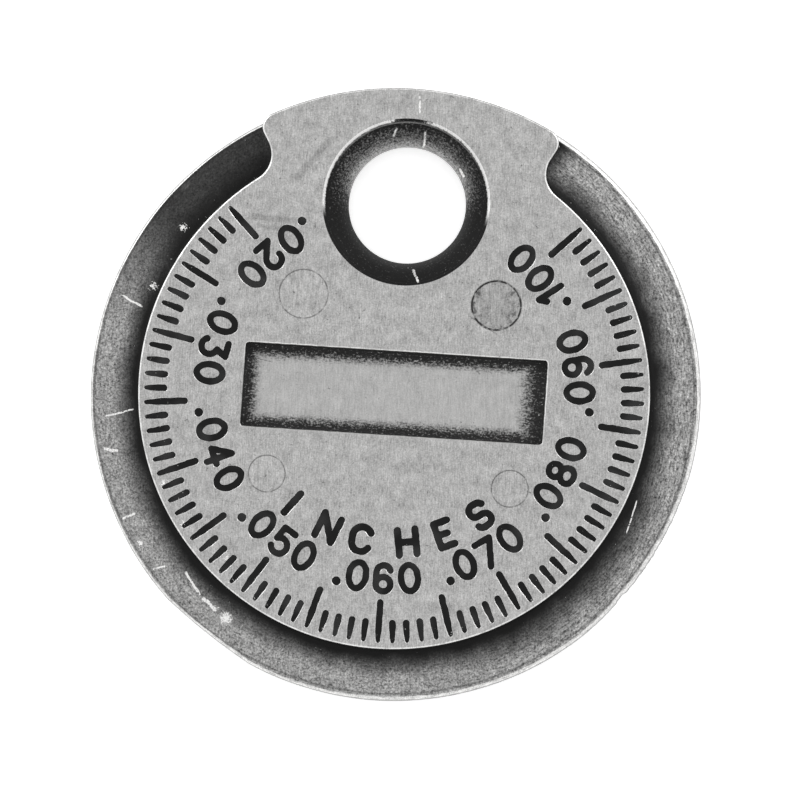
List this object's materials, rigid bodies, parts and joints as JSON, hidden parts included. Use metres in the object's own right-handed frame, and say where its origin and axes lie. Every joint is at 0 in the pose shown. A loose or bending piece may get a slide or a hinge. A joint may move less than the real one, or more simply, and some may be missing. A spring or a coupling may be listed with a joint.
{
  "type": "ramp gap gauge",
  "caption": "Coin-shaped feeler gauge with a keyring hole, whose rim is a ramp of growing thickness read against an engraved scale.",
  "frame": {"origin": "middle of the disc at the back plateau, on which the gauge lies", "axes": "+Z out of the front face, +Y from the middle of the disc to the keyring hole"},
  "size_m": [0.038, 0.0381, 0.0033],
  "materials": {
    "antique_zinc": "blackened zinc casting, rubbed bright and brushed on its high faces",
    "black_fill": "dull black fill wiped into engraved marks"
  },
  "bodies": {
    "root": {"cast_body": "antique_zinc", "long_tick_fill": "black_fill", "metric_long_tick_fill": "black_fill", "metric_numeral_fill_06": "black_fill", "metric_numeral_fill_08": "black_fill", "metric_numeral_fill_10": "black_fill", "metric_numeral_fill_12": "black_fill", "metric_numeral_fill_14": "black_fill", "metric_numeral_fill_16": "black_fill", "metric_numeral_fill_18": "black_fill", "metric_numeral_fill_20": "black_fill", "metric_numeral_fill_22": "black_fill", "metric_numeral_fill_24": "black_fill", "metric_short_tick_fill": "black_fill", "metric_unit_letter_fill": "black_fill", "numeral_fill_020": "black_fill", "numeral_fill_030": "black_fill", "numeral_fill_040": "black_fill", "numeral_fill_050": "black_fill", "numeral_fill_060": "black_fill", "numeral_fill_070": "black_fill", "numeral_fill_080": "black_fill", "numeral_fill_090": "black_fill", "numeral_fill_100": "black_fill", "short_tick_fill": "black_fill", "unit_letter_fill": "black_fill"}
  },
  "joints": []
}
